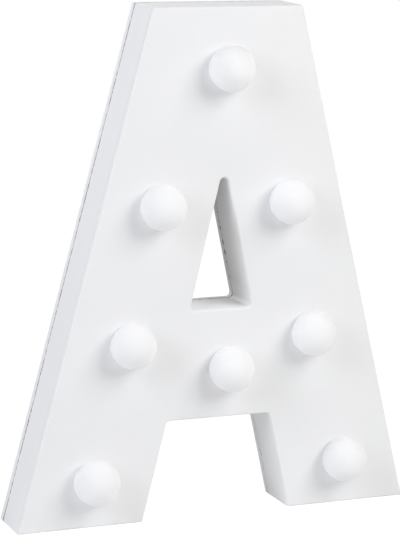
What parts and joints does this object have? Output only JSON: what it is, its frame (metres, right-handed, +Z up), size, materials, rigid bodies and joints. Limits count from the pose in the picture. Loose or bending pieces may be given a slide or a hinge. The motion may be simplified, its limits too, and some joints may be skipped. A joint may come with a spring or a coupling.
{
  "type": "light-up letter",
  "caption": "Free-standing white letter with round frosted bulbs on its face, a screwed back panel, a hinged battery door and a slide switch.",
  "frame": {"origin": "on the floor under the middle of the letter, bulbs included", "axes": "+Z up the letter, the face with the bulbs looks along -Y, +X to the right as the face is seen"},
  "size_m": [0.185, 0.0396, 0.225],
  "materials": {
    "painted_board": "fibreboard with satin white paint",
    "frosted_globe": "frosted milky globe",
    "holder_plastic": "moulded",
    "led_epoxy": "clear cast",
    "red_wire": "extruded sleeve",
    "black_wire": "extruded sleeve",
    "tray_plastic": "moulded, fine grain",
    "cell_sleeve": "plain printed sleeve",
    "contact_nickel": "nickel plated",
    "screw_steel": "zinc plated",
    "switch_steel": "drawn sheet",
    "switch_board": "laminated board",
    "knob_plastic": "moulded",
    "clip_brass": "rolled sheet"
  },
  "bodies": {
    "letter": {"front_shell": "painted_board", "back_panel": "painted_board", "back_screws": "screw_steel", "bulb_top": "frosted_globe", "lamp_holder_top": "holder_plastic", "led_top": "led_epoxy", "bulb_left_upper": "frosted_globe", "lamp_holder_left_upper": "holder_plastic", "led_left_upper": "led_epoxy", "bulb_right_upper": "frosted_globe", "lamp_holder_right_upper": "holder_plastic", "led_right_upper": "led_epoxy", "bulb_left_middle": "frosted_globe", "lamp_holder_left_middle": "holder_plastic", "led_left_middle": "led_epoxy", "bulb_right_middle": "frosted_globe", "lamp_holder_right_middle": "holder_plastic", "led_right_middle": "led_epoxy", "bulb_crossbar": "frosted_globe", "lamp_holder_crossbar": "holder_plastic", "led_crossbar": "led_epoxy", "bulb_left_foot": "frosted_globe", "lamp_holder_left_foot": "holder_plastic", "led_left_foot": "led_epoxy", "bulb_right_foot": "frosted_globe", "lamp_holder_right_foot": "holder_plastic", "led_right_foot": "led_epoxy", "wire_positive": "red_wire", "wire_negative": "black_wire", "switch_wires": "red_wire", "battery_tray": "tray_plastic", "tray_screws": "screw_steel", "cell_upper": "cell_sleeve", "cell_lower": "cell_sleeve", "contact_bridge": "contact_nickel", "contact_positive": "contact_nickel", "contact_negative": "contact_nickel", "spring_bridge": "contact_nickel", "spring_negative": "contact_nickel", "switch_frame": "switch_steel", "switch_base": "switch_board", "switch_lugs": "contact_nickel", "switch_screws": "screw_steel"},
    "door": {"battery_door": "tray_plastic"},
    "switch": {"switch_knob": "knob_plastic", "switch_clip": "clip_brass"}
  },
  "joints": [
    {"name": "battery_door_hinge", "type": "hinge", "parent": "letter", "child": "door", "pos_m": [0, 0.01865, 0.18756], "axis": [1, 0, 0], "range_deg": [0, 100]},
    {"name": "switch_slide", "type": "slide", "parent": "letter", "child": "switch", "axis": [1, 0, 0], "range_m": [0, 0.003]}
  ]
}
